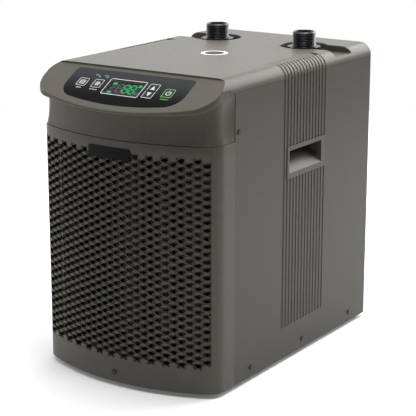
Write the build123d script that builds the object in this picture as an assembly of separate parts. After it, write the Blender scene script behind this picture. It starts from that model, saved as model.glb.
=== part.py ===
from build123d import *
import os
from math import asin, cos, radians, sin, sqrt

# Water chiller. Millimetres, +Z up, front towards -Y, +X to the right seen from the front.
# The origin is on the floor, under the middle of the cabinet's width and depth.

# Cabinet
width = 276.0
depth = 436.0
foot_height = 6.0
cover_seam_z = 390.0
cover_height = 18.0
wall = 2.5
fit_gap = 0.3
return_width = 12.0

# Front mouldings, seen from above
grille_reach = 73.0
grille_front_radius = 292.0
grille_corner_radius = 25.0
grille_top_z = 328.0
grille_ledge = 12.0
front_seam_gap = 0.5

# Grille holes
hole_pitch_x = 14.5
hole_pitch_z = 14.8
hole_width = 11.6
hole_height = 7.6
hole_field_half = 126.0
hole_field_low = 38.0
hole_field_high = 316.0

# Control head
head_side_inset = 0.6
head_reach = 80.0
head_front_radius = 400.0
head_corner_radius = 34.0
head_wall = 3.0
face_slope = 30.0
face_start_reach = 11.5
face_step = 2.4
lip_start_reach = 8.0
lip_start_drop = 17.0
lip_slope = 22.0
lip_round = 1.8
neck_inset_ends = 1.0
neck_inset_middle = 4.5
neck_bend_height = 16.0
neck_height = 56.0

# Overlay, keys and display: x across, row measured down the sloping face from its upper edge
overlay_top_row = 5.9
overlay_height = 62.7
overlay_half = 93.0
overlay_bottom_radius = 330.0
overlay_corner_radius = 26.0
overlay_top_corner = 6.0
overlay_thick = 1.0
key_proud = 0.3
key_gap = 0.35
key_travel = 0.5
key_flange = 1.2
key_corner = 1.5
key_row = 32.8
set_key_x = -68.7
set_key_size = (16.0, 16.0)
boost_key_x = -44.6
boost_key_size = (15.5, 17.0)
arrow_key_x = 40.3
arrow_key_size = (16.5, 13.4)
arrow_key_pitch = 14.6
power_key_x = 67.0
power_key_row = 34.9
power_key_size = (16.0, 17.0)
display_x = -1.5
display_row = 34.6
display_width = 55.0
display_height = 28.0
display_ledge = 2.5
window_thick = 1.0
lamp_radius = 1.1
lamp_row = 19.2
lamp_places = (-50.0, -37.8)
board_drop = 14.0
board_thick = 1.6
board_width = 164.0
board_height = 41.0
board_row = 34.5
boss_radius = 4.0
boss_pilot = 1.3
boss_x = 78.0
boss_rows = (18.0, 51.0)
switch_size = 6.0
switch_gap = 0.2

# Ribbed band on the sides, carried over the cover's shoulders
rib_start = 115.0
rib_pitch = 8.07
rib_count = 14
groove_width = 4.4
groove_depth = 0.9
rib_bottom_z = 50.0
shoulder_radius = 17.5
back_round = 5.0
cover_wall = 4.0
valley_from_side = 28.0
valley_width = 13.0
valley_rise = 5.5
valley_lead = 8.0
valley_depth = 2.0

# Handle cups in the side panels
cup_start = 130.0
cup_length = 84.0
cup_low_z = 261.0
cup_height = 31.5
cup_front_border = 5.0
cup_back_border = 9.0
cup_low_border = 6.0
cup_high_border = 6.0
cup_proud = 0.8
cup_depth = 32.0
cup_rise = 18.0
cup_throat = 6.0
cup_wall = 2.0
cup_scoop_rise = 26.0
cup_scoop_bow = 4.0

# Water fittings on the cover
fitting_from_side = 65.5
fitting_back = 276.6
thread_radius = 16.62
thread_relief = 0.2
fitting_bore_radius = 12.5
fitting_rise = 20.0
fitting_chamfer = 1.2
flange_radius = 24.0
flange_thick = 4.0
seal_thick = 1.5
barb_radius = 13.5
barb_length = 26.0
barb_rib = 0.15
trough_radius = 34.0
slot_half = 22.0
trough_depth = 8.5
trough_skin = 3.0
trough_round = 1.5
nut_radius = 23.5
nut_height = 7.4
nut_notches = 12
notch_width = 4.0
notch_depth = 1.6
label_radius = 18.5
label_x = 8.0
label_back = 148.0
label_thick = 0.4

# Badge plate on the grille, left bare
badge_half = 33.0
badge_x = -3.5
badge_z = 311.0
badge_height = 15.0
badge_thick = 1.0

# Base, feet and screws
pan_thick = 1.5
pan_flange = 20.0
foot_radius = 18.0
foot_round = 1.5
front_foot_from_side = 24.6
front_foot_back = 45.0
rear_foot_from_side = 38.0
rear_foot_front = 48.0
foot_screw_radius = 2.0
foot_recess = 3.0
screw_head_radius = 3.4
screw_head_height = 1.2
screw_radius = 1.7
screw_length = 8.0
screw_rise = 13.0
side_screw_places = (39.6, 172.4, 305.9)
seam_screw_back = 8.7
seam_screw_z = 339.5
lug_height = 13.0
lug_thick = 7.0
rear_screw_heights = (40.0, 200.0, 360.0)

# Condenser, shroud and fan
condenser_back = 37.0
condenser_from_side = 34.0
condenser_thick = 30.0
condenser_low_z = 36.0
condenser_height = 264.0
fin_count = 22
fin_gap = 5.0
fin_depth = 8.0
bend_radius = 16.0
bend_count = 2
tube_radius = 4.0
frame_plate = 1.5
shroud_depth = 14.0
shroud_wall = 2.0
fan_from_shroud_edge = 14.0
fan_tip_gap = 5.0
collar_depth = 24.0
hub_radius = 24.0
hub_length = 22.0
blade_count = 5
blade_chord = 60.0
blade_thick = 2.0
blade_pitch = 27.0
blade_bow_radius = 90.0
shaft_radius = 4.0
shaft_gap = 0.05
motor_radius = 38.0
motor_length = 40.0
motor_round = 5.0
arm_width = 14.0
arm_thick = 2.5
arm_from_collar = 21.0
arm_count = 4

# Compressor
compressor_x = -32.0
compressor_from_seam = 152.0
compressor_radius = 62.0
compressor_height = 168.0
compressor_dome = 26.0
compressor_band = 2.5
grommet_height = 14.0
grommet_radius = 12.0
grommet_reach = 68.0
mount_plate = 3.0
stud_radius = 3.0
terminal_width = 30.0
terminal_height = 56.0
terminal_reach = 20.0

# Water tank, hoses and pipes
tank_from_back = 74.0
tank_radius = 54.0
tank_height = 242.0
tank_round = 6.0
lid_height = 8.0
port_x = 30.0
port_height = 26.0
hose_wall = 3.0
hose_bend = 24.0
hose_drop = 46.0
clamp_width = 9.0
pipe_radius = 4.0
thin_pipe_radius = 2.5
capillary_radius = 1.4
drier_radius = 10.0
drier_length = 100.0
probe_radius = 4.0
probe_length = 34.0

# Power parts
module_width = 58.0
module_depth = 92.0
module_height = 54.0
socket_from_side = 54.0
socket_z = 66.0
socket_width = 28.0
socket_height = 20.5
socket_depth = 17.0
socket_border = 10.0
fuse_rise = 34.0
fuse_radius = 7.0

# Back panel
sheet = 1.5
vent_rows = 14
vent_pitch = 15.0
vent_height = 5.0
vent_middle_gap = 18.0
vent_from_side = 43.0
vent_low_z = 132.0

# Places that follow from the sizes above
half = width / 2
valley_inner_x = half - valley_from_side
fitting_x = half - fitting_from_side
front_foot_x = half - front_foot_from_side
rear_foot_x = half - rear_foot_from_side
socket_x = half - socket_from_side
vent_width = half - vent_from_side - vent_middle_gap / 2
vent_spacing = vent_width + vent_middle_gap
condenser_half = half - condenser_from_side
fan_radius = condenser_half - fan_from_shroud_edge
nose_y = -depth / 2
back_y = depth / 2
seam_y = nose_y + head_reach
cover_top_z = cover_seam_z + cover_height
pan_top_z = foot_height + pan_thick
head_low_z = grille_top_z + front_seam_gap
neck_top_z = head_low_z + neck_height
cover_front_y = seam_y - face_start_reach
face_top_z = cover_top_z - face_step
skin = head_wall + overlay_thick
face_out = (0, -sin(radians(face_slope)), cos(radians(face_slope)))
face_plane = Plane(origin=(0, cover_front_y, face_top_z), x_dir=(1, 0, 0), z_dir=face_out)
rib_length = (rib_count - 1) * rib_pitch + groove_width
fitting_y = seam_y + fitting_back
trough_floor_z = cover_top_z - trough_depth
flange_top_z = trough_floor_z - trough_skin - seal_thick
flange_low_z = flange_top_z - flange_thick
condenser_y = seam_y - condenser_back
shroud_y = condenser_y + condenser_thick
fan_z = condenser_low_z + condenser_height / 2
fan_y = shroud_y + shroud_depth + collar_depth / 2 + 2
collar_radius = fan_radius + fan_tip_gap
arm_reach = collar_radius + arm_from_collar
motor_y = shroud_y + shroud_depth + collar_depth + 11
compressor_y = seam_y + compressor_from_seam
compressor_low_z = pan_top_z + grommet_height + mount_plate
tank_y = back_y - tank_from_back
tank_top_z = pan_top_z + tank_height
port_top_z = tank_top_z + lid_height + port_height
screw_z = foot_height + screw_rise
keys = {
    "set_key": (set_key_x, key_row, set_key_size),
    "boost_key": (boost_key_x, key_row, boost_key_size),
    "up_key": (arrow_key_x, display_row - arrow_key_pitch / 2, arrow_key_size),
    "down_key": (arrow_key_x, display_row + arrow_key_pitch / 2, arrow_key_size),
    "power_key": (power_key_x, power_key_row, power_key_size),
}


def block(x0, x1, y0, y1, z0, z1):
    """Box between two corners."""
    return Pos((x0 + x1) / 2, (y0 + y1) / 2, (z0 + z1) / 2) * Box(x1 - x0, y1 - y0, z1 - z0)


def rod(radius, start, axis, length):
    """Round bar from a start point along an axis."""
    return Plane(origin=start, z_dir=axis) * Cylinder(
        radius, length, align=(Align.CENTER, Align.CENTER, Align.MIN)
    )


def ring(outer, inner, start, axis, length):
    """Round tube length from a start point along an axis."""
    return rod(outer, start, axis, length) - rod(inner, start, axis, length)


def pipe(points, radius, bend, bore=0.0):
    """Pipe along straight runs joined by tangent arcs."""
    path = FilletPolyline(*points, radius=bend)
    section = Circle(radius) - Circle(bore) if bore else Circle(radius)
    return sweep(Plane(origin=path @ 0, z_dir=path % 0) * section, path=path)


def screw(point, axis, length=screw_length):
    """Pan-head screw; the axis points out of the panel."""
    inward = tuple(-a for a in axis)
    return rod(screw_head_radius, point, axis, screw_head_height) + rod(
        screw_radius, point, inward, length
    )


def column(face, z0, z1):
    """Upright prism on an outline."""
    return Pos(0, 0, z0) * extrude(face, z1 - z0)


def along_depth(profile, y0, y1):
    """Prism along the cabinet's depth on an X-Z profile."""
    plane = Plane(origin=(0, y1, 0), x_dir=(1, 0, 0), z_dir=(0, -1, 0))
    return extrude(plane * profile, y1 - y0)


def plan_face(side, reach, radius, corner, back, inset, flare=0.0):
    """Outline from above: one wide front arc, two corner arcs, straight or flared sides."""
    centre_y = seam_y - reach + radius
    cx = side - corner
    cy = centre_y - sqrt((radius - corner) ** 2 - cx ** 2)
    ux, uy = cx / (radius - corner), (cy - centre_y) / (radius - corner)
    r, c, s = radius - inset, corner - inset, side - inset
    tx, ty = ux * r, centre_y + uy * r
    norm = sqrt((1 + ux) ** 2 + uy ** 2)
    mx, my = cx + c * (1 + ux) / norm, cy + c * uy / norm
    if flare:
        bow = ((back - cy) ** 2 + flare ** 2) / (2 * flare)
        turn = asin((back - cy) / bow) / 2
        bx, by = s + bow * (1 - cos(turn)), cy + bow * sin(turn)
        right = ThreePointArc((s + flare, back), (bx, by), (s, cy))
        left = ThreePointArc((-s, cy), (-bx, by), (-s - flare, back))
    else:
        right, left = Line((s, back), (s, cy)), Line((-s, cy), (-s, back))
    edges = [
        right,
        ThreePointArc((s, cy), (mx, my), (tx, ty)),
        ThreePointArc((tx, ty), (0, centre_y - r), (-tx, ty)),
        ThreePointArc((-tx, ty), (-mx, my), (-s, cy)),
        left,
        Line((-s - flare, back), (s + flare, back)),
    ]
    return make_face(edges)


def grille_plan(inset, back=seam_y, flare=0.0):
    return plan_face(
        half, grille_reach, grille_front_radius, grille_corner_radius, back, inset, flare
    )


def head_plan():
    return plan_face(
        half - head_side_inset, head_reach, head_front_radius, head_corner_radius, seam_y, 0
    )


def below_plane(point_y, point_z, slope):
    """Half space under a plane that falls towards the front."""
    out = (0, -sin(radians(slope)), cos(radians(slope)))
    plane = Plane(origin=(0, point_y, point_z), x_dir=(1, 0, 0), z_dir=out)
    return plane * block(-width, width, -width, width, -width, 0)


def on_face(shape, x, row, lift=0.0):
    """Set a shape on the sloping face, a distance down from its upper edge."""
    return face_plane * Pos(x, -row, lift) * shape


def shoulder_profile(inset=0.0):
    """Cross-section of the cabinet's top: flat, with a round shoulder on each side."""
    high = cover_top_z - inset
    outline = Pos(0, high / 2) * Rectangle(width - 2 * inset, high)
    return fillet(outline.vertices().group_by(Axis.Y)[-1], shoulder_radius - inset)


def groove_sections():
    """Grooves of the ribbed band in the right side, seen from above, with sloping flanks."""
    bottom = half - groove_depth
    sections = []
    for i in range(rib_count):
        y0 = seam_y + rib_start + i * rib_pitch
        y1 = y0 + groove_width
        corners = (
            (half + 1, y0 - 1), (half + 1, y1 + 1),
            (bottom, y1 - groove_depth), (bottom, y0 + groove_depth),
        )
        sections.append(Polygon(*corners, align=None))
    return sections


def front_grille():
    shell = column(grille_plan(0), foot_height, grille_top_z)
    shell -= column(grille_plan(wall, seam_y + 1), foot_height - 1, grille_top_z - wall)
    shell -= column(grille_plan(grille_ledge, seam_y + 1), foot_height, grille_top_z + 1)
    diamond = Polygon(
        (hole_width / 2, 0), (0, hole_height / 2), (-hole_width / 2, 0), (0, -hole_height / 2)
    )
    columns = int(2 * hole_field_half / hole_pitch_x) + 1
    holes = []
    for i in range(columns):
        x = (i - (columns - 1) / 2) * hole_pitch_x
        low = hole_field_low + hole_pitch_z / 2 * (i % 2)
        rows = int((hole_field_high - low - hole_height) / hole_pitch_z) + 1
        for j in range(rows):
            holes.append(Pos(x, low + hole_height / 2 + j * hole_pitch_z) * diamond)
    shell -= along_depth(Sketch(children=holes), seam_y - grille_reach - 1, seam_y)
    return shell - rod(screw_radius + fit_gap, (0, seam_y, screw_z), (0, -1, 0), depth)


def badge_plate():
    plate = along_depth(
        fillet(
            (Pos(badge_x, badge_z) * Rectangle(2 * badge_half, badge_height)).vertices(), 3
        ),
        seam_y - grille_reach - 5,
        seam_y,
    )
    centre_y = seam_y - grille_reach + grille_front_radius
    skin_ring = ring(
        grille_front_radius + badge_thick,
        grille_front_radius + 0.05,
        (0, centre_y, badge_z - badge_height),
        (0, 0, 1),
        2 * badge_height,
    )
    return plate & skin_ring


def neck_levels():
    """Heights of the neck's outlines and how far each is set back: hollow in the middle."""
    return (
        (head_low_z, neck_inset_ends),
        (head_low_z + neck_bend_height, neck_inset_middle - 0.6),
        (head_low_z + 2 * neck_bend_height, neck_inset_middle),
        (neck_top_z, neck_inset_ends),
    )


def neck_solid():
    """Neck between the grille and the lip; its sides flare out again to meet the panels."""
    faces = []
    for z, inset in neck_levels():
        faces.append(Pos(0, 0, z) * grille_plan(inset, seam_y, inset - head_side_inset))
    top = grille_plan(neck_inset_ends, seam_y, neck_inset_ends - head_side_inset)
    neck = loft(faces) + column(top, neck_top_z, cover_top_z)
    return neck & below_plane(cover_front_y, face_top_z, face_slope)


def is_rim(edge):
    """Edges of the visor's nose that run round the front, above and below the rim."""
    across = abs(edge.center().X) < 1 and edge.center().Y < seam_y - head_reach / 2
    falling = abs((edge @ 0).Z - (edge @ 1).Z) > 3 and abs((edge @ 0).Y - (edge @ 1).Y) > 3
    return across or (falling and edge.center().Y < cover_front_y - 1)


def key_prism(name, gap, low, high):
    """Prism of a key's outline across the face, from below it to above it."""
    x, row, (wide, tall) = keys[name]
    outline = Rectangle(wide + 2 * gap, tall + 2 * gap)
    outline = fillet(outline.vertices(), key_corner)
    return on_face(extrude(outline, low + high), x, row, -low)


def overlay_outline(gap):
    """Flat D: straight upper edge, wide lower arc, round lower corners."""
    side, top = overlay_half - gap, -overlay_top_row - gap
    bottom = -overlay_top_row - overlay_height + gap
    arc_centre = bottom + overlay_bottom_radius
    low = arc_centre - sqrt(overlay_bottom_radius ** 2 - side ** 2)
    edges = [
        Line((side, low), (side, top)),
        Line((side, top), (-side, top)),
        Line((-side, top), (-side, low)),
        ThreePointArc((-side, low), (0, bottom), (side, low)),
    ]
    face = make_face(edges)
    lower = face.vertices().group_by(Axis.Y)[0]
    upper = face.vertices().group_by(Axis.Y)[-1]
    face = fillet(lower, overlay_corner_radius)
    return fillet(
        [v for v in face.vertices() if any((v.center() - u.center()).length < 0.1 for u in upper)],
        overlay_top_corner,
    )


def head_hollow():
    faces = [Pos(0, 0, z) * grille_plan(n + head_wall, seam_y + 1) for z, n in neck_levels()]
    hollow = loft(faces)
    upper = grille_plan(neck_inset_ends + head_wall, seam_y + 1)
    hollow += column(upper, neck_top_z, cover_top_z)
    hollow &= face_plane * block(-width, width, -width, width, -width, -skin)
    return hollow & along_depth(shoulder_profile(head_wall), nose_y, seam_y + 2)


def control_head():
    visor = column(head_plan(), head_low_z, face_top_z)
    visor &= below_plane(cover_front_y, face_top_z, face_slope)
    visor -= below_plane(seam_y - lip_start_reach, cover_top_z - lip_start_drop, lip_slope)
    visor -= block(-half, half, cover_front_y, back_y, cover_seam_z, cover_top_z)
    body = fillet([e for e in visor.edges() if is_rim(e)], lip_round) + neck_solid()
    body -= block(-half, half, cover_front_y, back_y, cover_seam_z, cover_top_z)
    body &= along_depth(shoulder_profile(), nose_y - 1, seam_y + 1)
    body -= head_hollow()
    boss_length = board_drop - skin
    for x in (-boss_x, boss_x):
        for row in boss_rows:
            body += on_face(Cylinder(boss_radius, boss_length), x, row, -skin - boss_length / 2)
            body -= on_face(
                Cylinder(boss_pilot, boss_length), x, row, -board_drop + boss_length / 2 - 1
            )
    body -= on_face(extrude(overlay_outline(-fit_gap), overlay_thick + 1), 0, 0, -overlay_thick)
    for name in keys:
        body -= key_prism(name, key_gap, skin + 1, 1)
    opening = Box(display_width - 2 * display_ledge, display_height - 2 * display_ledge, 3 * skin)
    body -= on_face(opening, display_x, display_row)
    for x in lamp_places:
        body -= on_face(Cylinder(lamp_radius + fit_gap, 3 * skin), x, lamp_row)
    for side in (-1, 1):
        body += seam_lug(side)
    return body


def seam_lug(side):
    """Lug at the back of the head, inside the side panel, that takes the seam screw."""
    z0, z1 = seam_screw_z - lug_height / 2, seam_screw_z + lug_height / 2
    outer, inner = half - wall - fit_gap, half - wall - fit_gap - lug_thick
    lug = block(inner, outer, seam_y, seam_y + 2 * seam_screw_back, z0, z1)
    lug += block(inner, half - neck_inset_middle - 1, seam_y - 4, seam_y, z0, z1)
    lug -= rod(screw_radius + 0.05, (0, seam_y + seam_screw_back, seam_screw_z), (1, 0, 0), width)
    return lug if side > 0 else mirror(lug, about=Plane.YZ)


def control_overlay():
    film = on_face(extrude(overlay_outline(0), overlay_thick), 0, 0, -overlay_thick)
    for name in keys:
        film -= key_prism(name, key_gap, skin, 1)
    film -= on_face(Box(display_width, display_height, 4), display_x, display_row)
    for x in lamp_places:
        film -= on_face(Cylinder(lamp_radius + fit_gap, 4), x, lamp_row)
    return film


def key(name):
    """Key cap that slides through the face, with side flanges behind it that keep it in."""
    x, row, (wide, tall) = keys[name]
    cap = key_prism(name, 0, skin + fit_gap, key_proud)
    flange = Box(wide + 2 * key_flange, tall, key_flange)
    return cap + on_face(flange, x, row, -skin - fit_gap - key_flange / 2)


def display_window():
    pane = Box(display_width - fit_gap, display_height - fit_gap, window_thick)
    return on_face(pane, display_x, display_row, -window_thick / 2)


def display_module():
    high, low = -skin - fit_gap, -board_drop
    can = Box(display_width, display_height, high - low)
    body = on_face(can, display_x, display_row, (high + low) / 2)
    core = Box(
        display_width - 2 * display_ledge - 1, display_height - 2 * display_ledge - 1, 3
    )
    return body + on_face(core, display_x, display_row, high + 0.5)


def indicator_lamps():
    length = board_drop + 0.2
    lamps = [
        on_face(Cylinder(lamp_radius, length), x, lamp_row, 0.2 - length / 2)
        for x in lamp_places
    ]
    return Compound(children=lamps)


def control_board():
    plate = Box(board_width, board_height, board_thick)
    board = on_face(plate, 0, board_row, -board_drop - board_thick / 2)
    top = -(skin + fit_gap + key_flange + key_travel + switch_gap)
    for x, row, _ in keys.values():
        switch = Box(switch_size, switch_size, board_drop + top)
        board += on_face(switch, x, row, (top - board_drop) / 2)
    for x in (-boss_x, boss_x):
        for row in boss_rows:
            board -= on_face(Cylinder(boss_pilot + fit_gap, 4 * board_thick), x, row, -board_drop)
    return board


def board_screws():
    back = tuple(-c for c in face_out)
    screws = []
    for x in (-boss_x, boss_x):
        for row in boss_rows:
            spot = (face_plane * Pos(x, -row, -board_drop - board_thick)).position
            screws.append(
                rod(boss_radius - 1, spot, back, 1.5) + rod(boss_pilot - 0.1, spot, face_out, 6)
            )
    return Compound(children=screws)


def top_cover():
    body = along_depth(shoulder_profile(), cover_front_y, back_y)
    body &= block(-half, half, -depth, depth, cover_seam_z, cover_top_z)
    rear = [e for e in body.edges() if e.center().Z > cover_top_z - 0.1 and e.center().Y > back_y - 1]
    body = fillet(rear, back_round)
    hollow = along_depth(shoulder_profile(cover_wall), cover_front_y + cover_wall, back_y - wall)
    hollow &= block(-half, half, -depth, depth, cover_seam_z - 1, cover_top_z)
    y0 = seam_y + rib_start
    for side in (-1, 1):
        slot = Rectangle(2 * (half - fitting_x), 2 * slot_half)
        outline = Pos(side * half, fitting_y) * slot + Pos(side * fitting_x, fitting_y) * Circle(
            trough_radius
        )
        body -= column(outline, trough_floor_z, cover_top_z + 1)
        skin_slot = Rectangle(2 * (half - fitting_x), 2 * (slot_half + trough_skin))
        skin_outline = Pos(side * half, fitting_y) * skin_slot
        skin_outline += Pos(side * fitting_x, fitting_y) * Circle(trough_radius + trough_skin)
        hollow -= column(skin_outline, trough_floor_z - trough_skin, cover_top_z)
        wedge = Polygon(
            (valley_inner_x, cover_top_z),
            (valley_inner_x + valley_width, cover_top_z - valley_depth),
            (valley_inner_x + valley_width + valley_rise, cover_top_z + 1),
            (valley_inner_x, cover_top_z + 1),
            align=None,
        )
        if side < 0:
            wedge = mirror(wedge, about=Plane.YZ)
        body -= along_depth(wedge, y0 - valley_lead, y0 + rib_length)
    turn_z = cover_top_z - shoulder_radius
    turn = Axis((half - shoulder_radius, 0, turn_z), (0, -1, 0))
    for section in groove_sections():
        groove = column(section, cover_seam_z - 1, turn_z)
        groove += revolve(Pos(0, 0, turn_z) * section, turn, 90)
        body -= groove
        body -= mirror(groove, about=Plane.YZ)
    body -= hollow
    for side in (-1, 1):
        body -= rod(
            thread_radius + fit_gap, (side * fitting_x, fitting_y, cover_seam_z), (0, 0, 1), 60
        )
    return fillet([e for e in body.edges() if is_trough_rim(e)], trough_round)


def is_trough_rim(edge):
    """Upper edges of the two troughs, where they meet the flat top."""
    middle = edge.center()
    beside = abs(middle.X) > fitting_x - trough_radius - 1
    near = abs(middle.Y - fitting_y) < trough_radius
    return middle.Z > cover_top_z - 0.05 and beside and near


def side_panel(side):
    top = cover_seam_z - fit_gap
    inner = half - wall
    panel = block(inner, half, seam_y, back_y, foot_height, top)
    panel += block(half - return_width, inner, seam_y, seam_y + wall, pan_top_z + pan_flange + 1, top)
    lug_half = lug_height / 2 + fit_gap
    panel -= block(
        half - return_width - 1, inner, seam_y - 1, seam_y + wall + 1,
        seam_screw_z - lug_half, seam_screw_z + lug_half,
    )
    panel += block(half - return_width, inner, back_y - wall, back_y, foot_height, top)
    corner = panel.edges().filter_by(Axis.Z).group_by(Axis.Y)[-1].group_by(Axis.X)[-1]
    panel = fillet(corner, back_round)
    for section in groove_sections():
        panel -= column(section, rib_bottom_z, top + 1)
    y0, z0 = seam_y + cup_start, cup_low_z
    clear = cup_wall + fit_gap
    panel -= block(
        inner - 1, half + 1, y0 - clear, y0 + cup_length + clear, z0 - clear, z0 + cup_height + clear
    )
    for back in side_screw_places:
        panel -= rod(screw_radius + fit_gap, (0, seam_y + back, screw_z), (1, 0, 0), width)
    panel -= rod(
        screw_radius + fit_gap, (inner - 1, seam_y + seam_screw_back, seam_screw_z), (1, 0, 0), 9
    )
    for x, y, z in rear_screw_places()[:3]:
        panel -= rod(screw_radius + fit_gap, (x, 0, z), (0, 1, 0), depth)
        panel -= rod(screw_head_radius + fit_gap, (x, y, z), (0, 1, 0), wall)
    return panel if side > 0 else mirror(panel, about=Plane.YZ)


def cup_section(grow):
    """Profile of a finger pocket: a floor that scoops up and a grip space above the throat."""
    low, high = cup_low_z - grow, cup_low_z + cup_height + grow
    mouth, throat = half + cup_proud + 1, half - cup_throat + grow
    deep, top = half - cup_depth - grow, high + cup_rise
    floor_z = low + cup_scoop_rise
    middle = ((mouth + deep) / 2, (low + floor_z) / 2 + cup_scoop_bow)
    edges = [
        ThreePointArc((mouth, low), middle, (deep, floor_z)),
        Line((deep, floor_z), (deep, top)),
        Line((deep, top), (throat, top)),
        Line((throat, top), (throat, high)),
        Line((throat, high), (mouth, high)),
        Line((mouth, high), (mouth, low)),
    ]
    return make_face(edges)


def handle_cup(side):
    """Finger pocket with an open frame outside the panel."""
    y0, y1 = seam_y + cup_start, seam_y + cup_start + cup_length
    body = along_depth(cup_section(cup_wall), y0 - cup_wall, y1 + cup_wall)
    body &= block(0, half, -depth, depth, 0, cover_top_z)
    body += block(
        half, half + cup_proud, y0 - cup_front_border, y1 + cup_back_border,
        cup_low_z - cup_low_border, cup_low_z + cup_height + cup_high_border,
    )
    body -= along_depth(cup_section(0), y0, y1)
    return body if side > 0 else mirror(body, about=Plane.YZ)


def rear_panel():
    y1 = back_y - wall
    panel = block(-half + wall, half - wall, y1 - sheet, y1, foot_height, cover_seam_z - fit_gap)
    for x, y, z in rear_screw_places():
        panel -= rod(screw_radius + 0.1, (x, 0, z), (0, 1, 0), depth)
    for row in range(vent_rows):
        z = vent_low_z + row * vent_pitch
        for x in (-vent_spacing / 2, vent_spacing / 2):
            panel -= block(x - vent_width / 2, x + vent_width / 2, 0, back_y, z, z + vent_height)
    border = socket_border / 2
    panel -= block(
        socket_x - socket_width / 2 - border, socket_x + socket_width / 2 + border, 0, back_y,
        socket_z - socket_height / 2 - border, socket_z + socket_height / 2 + border,
    )
    fuse_hole = rod(fuse_radius + fit_gap, (socket_x, 0, socket_z + fuse_rise), (0, 1, 0), back_y)
    return panel - fuse_hole


def base_pan():
    gap = wall + fit_gap
    outer = grille_plan(gap, back_y - wall - sheet - fit_gap)
    inner = grille_plan(gap + pan_thick, back_y - wall - sheet - fit_gap - pan_thick)
    pan = column(outer, foot_height, pan_top_z + pan_flange)
    pan -= column(inner, pan_top_z, pan_top_z + pan_flange + 1)
    for x, y in foot_places():
        pan -= rod(foot_screw_radius + 0.2, (x, y, 0), (0, 0, 1), 20)
    for back in side_screw_places:
        pan -= rod(screw_radius + 0.2, (-width, seam_y + back, screw_z), (1, 0, 0), 2 * width)
    return pan - rod(screw_radius + 0.2, (0, seam_y, screw_z), (0, -1, 0), depth)


def foot_places():
    front_y, rear_y = seam_y + front_foot_back, back_y - rear_foot_front
    return (
        (-front_foot_x, front_y), (front_foot_x, front_y),
        (-rear_foot_x, rear_y), (rear_foot_x, rear_y),
    )


def rubber_feet():
    foot = rod(foot_radius, (0, 0, 0), (0, 0, 1), foot_height)
    foot = chamfer(foot.edges().filter_by(GeomType.CIRCLE).group_by(Axis.Z)[0], foot_round)
    foot -= rod(3 * foot_screw_radius, (0, 0, 0), (0, 0, 1), foot_recess)
    foot -= rod(foot_screw_radius + 0.2, (0, 0, 0), (0, 0, 1), foot_height)
    return Compound(children=[Pos(x, y, 0) * foot for x, y in foot_places()])


def foot_screws():
    screws = []
    for x, y in foot_places():
        head = rod(2 * foot_screw_radius, (x, y, foot_recess - 2), (0, 0, 1), 2)
        screws.append(head + rod(foot_screw_radius, (x, y, foot_recess), (0, 0, 1), 8))
    return Compound(children=screws)


def rear_screw_places():
    y = back_y - screw_head_height
    x = half - return_width / 2
    return [(side * x, y, z) for side in (1, -1) for z in rear_screw_heights]


def panel_screws():
    screws = [screw((0, seam_y - grille_reach, screw_z), (0, -1, 0))]
    for place in rear_screw_places():
        screws.append(screw(place, (0, 1, 0), 5))
    for side in (-1, 1):
        for back in side_screw_places:
            screws.append(screw((side * half, seam_y + back, screw_z), (side, 0, 0)))
        screws.append(
            screw((side * half, seam_y + seam_screw_back, seam_screw_z), (side, 0, 0), 6)
        )
    return Compound(children=screws)


def fitting(side):
    """Threaded stub through the cover, clamped by its flange, with a hose barb below."""
    x, top, nut_top = side * fitting_x, cover_top_z + fitting_rise, trough_floor_z + nut_height
    stub = rod(thread_radius, (x, fitting_y, nut_top), (0, 0, 1), top - nut_top)
    stub = chamfer(stub.edges().filter_by(GeomType.CIRCLE).group_by(Axis.Z)[-1], fitting_chamfer)
    relieved = thread_radius - thread_relief
    stub += rod(relieved, (x, fitting_y, flange_top_z), (0, 0, 1), nut_top - flange_top_z)
    stub += rod(flange_radius, (x, fitting_y, flange_low_z), (0, 0, 1), flange_thick)
    stub += rod(barb_radius, (x, fitting_y, flange_low_z), (0, 0, -1), barb_length)
    low = (x, fitting_y, flange_low_z - barb_length - 1)
    stub -= rod(barb_radius - 3, low, (0, 0, 1), barb_length + 1)
    return stub - rod(fitting_bore_radius, (x, fitting_y, flange_low_z), (0, 0, 1), 99)


def seal_ring(side):
    start = (side * fitting_x, fitting_y, flange_top_z)
    return ring(flange_radius, thread_radius + fit_gap, start, (0, 0, 1), seal_thick)


def lock_nut(side):
    x = side * fitting_x
    start = (x, fitting_y, trough_floor_z)
    nut = ring(nut_radius, thread_radius + 0.05, start, (0, 0, 1), nut_height)
    notch = Pos(nut_radius, 0, trough_floor_z) * Box(
        2 * notch_depth, notch_width, 2 * nut_height
    )
    for i in range(nut_notches):
        nut -= Pos(x, fitting_y, 0) * Rot(0, 0, i * 360 / nut_notches) * notch
    return nut


def top_label():
    place = (label_x, seam_y + label_back, cover_top_z)
    return rod(label_radius, place, (0, 0, 1), label_thick)


def condenser_core():
    """Finned block: upright gaps in its front and back show the fins."""
    top = condenser_low_z + condenser_height
    core = block(-condenser_half, condenser_half, condenser_y, shroud_y, condenser_low_z, top)
    pitch = 2 * condenser_half / fin_count
    for i in range(fin_count):
        x = -condenser_half + (i + 0.5) * pitch
        core -= block(
            x - fin_gap / 2, x + fin_gap / 2, condenser_y - 1, condenser_y + fin_depth,
            condenser_low_z - 1, top + 1,
        )
    return core


def bend_places():
    """Heights of the return bends' middles, one list for each side."""
    pitch = (condenser_height - 40) / (2 * bend_count)
    low = condenser_low_z + 20 + pitch / 2
    right = [low + (2 * i) * pitch for i in range(bend_count)]
    left = [low + (2 * i + 1) * pitch for i in range(bend_count)]
    return ((1, right), (-1, left))


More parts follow.
